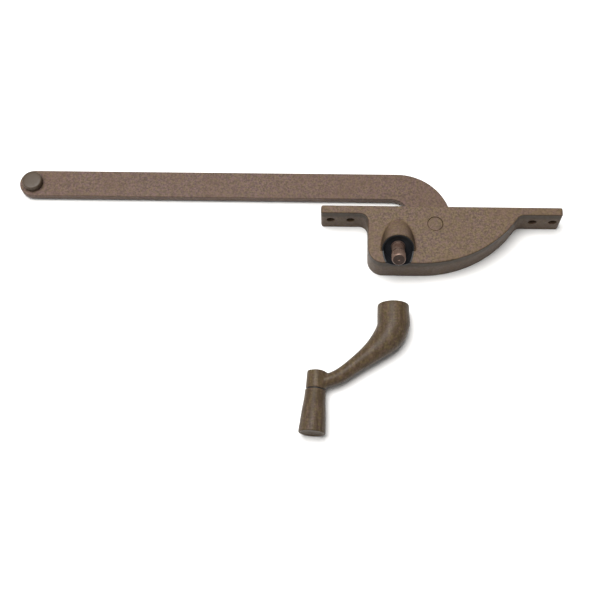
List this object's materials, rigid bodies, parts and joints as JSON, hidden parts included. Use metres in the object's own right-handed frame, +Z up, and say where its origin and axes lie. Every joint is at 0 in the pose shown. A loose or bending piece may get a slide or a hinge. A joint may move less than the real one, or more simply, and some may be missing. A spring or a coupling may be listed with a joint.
{
  "type": "casement window crank operator",
  "caption": "Teardrop casement operator: flanged gear case, splined shaft in a slanted snout, offset sash arm with a guide button, and a loose crank handle.",
  "frame": {"origin": "the arm's pivot axis where it meets the plane that the gear case stands on", "axes": "+X to the right along the mounting flange as the user faces it, +Y out through the flange's back face towards the outside of the window, +Z up out of the base, parallel to the pivot"},
  "size_m": [0.317, 0.1584, 0.0295],
  "materials": {
    "case_paint": "baked bronze enamel, low gloss, fine texture",
    "arm_paint": "baked bronze enamel on stamped steel",
    "handle_paint": "semi-gloss bronze enamel on cast zinc",
    "shaft_steel": "oil-darkened turned steel",
    "gear_steel": "hardened gear steel, lightly oiled",
    "plated_steel": "zinc-plated",
    "bearing_bronze": "sintered bronze",
    "black_nylon": "moulded, dull",
    "button_nylon": "moulded in the colour of the arm"
  },
  "bodies": {
    "housing": {"gear_housing": "case_paint", "bottom_cover": "plated_steel", "cover_screws": "plated_steel", "pivot_pin": "case_paint", "lower_pivot_washer": "plated_steel", "upper_pivot_washer": "plated_steel", "inner_shaft_bearing": "bearing_bronze", "worm_thrust_washer": "bearing_bronze", "snout_bushing": "black_nylon"},
    "worm": {"worm_shaft": "shaft_steel"},
    "arm": {"operator_arm": "arm_paint", "gear_sector": "gear_steel", "sector_rivets": "plated_steel", "hub_bushing": "bearing_bronze", "button_stud": "plated_steel"},
    "button": {"track_button": "button_nylon"},
    "crank": {"crank_arm": "handle_paint", "crank_set_screw": "plated_steel", "knob_spindle": "plated_steel", "knob_washer": "black_nylon"},
    "knob": {"crank_knob": "handle_paint"}
  },
  "joints": [
    {"name": "arm_swing", "type": "hinge", "parent": "housing", "child": "arm", "pos_m": [0, 0, 0.0022], "axis": [0, 0, 1], "range_deg": [-95, 0]},
    {"name": "worm_spin", "type": "hinge", "parent": "housing", "child": "worm", "pos_m": [-0.0211, 0, 0.0092], "axis": [0, -0.829, 0.5592], "range_deg": [-15, 2865]},
    {"name": "button_spin", "type": "hinge", "parent": "arm", "child": "button", "pos_m": [-0.2365, 0.0296, 0.0062], "axis": [0, 0, 1], "continuous": true},
    {"name": "crank_lift", "type": "slide", "parent": "housing", "child": "crank", "axis": [0, 0, 1], "range_m": [0, 0.06]},
    {"name": "knob_spin", "type": "hinge", "parent": "crank", "child": "knob", "pos_m": [-0.06543, -0.09005, 0.00748], "axis": [-0.061, -0.9981, -0.0021], "continuous": true}
  ],
  "couplings": [
    {"joint": "worm_spin", "follows": "arm_swing", "ratio": -30}
  ]
}
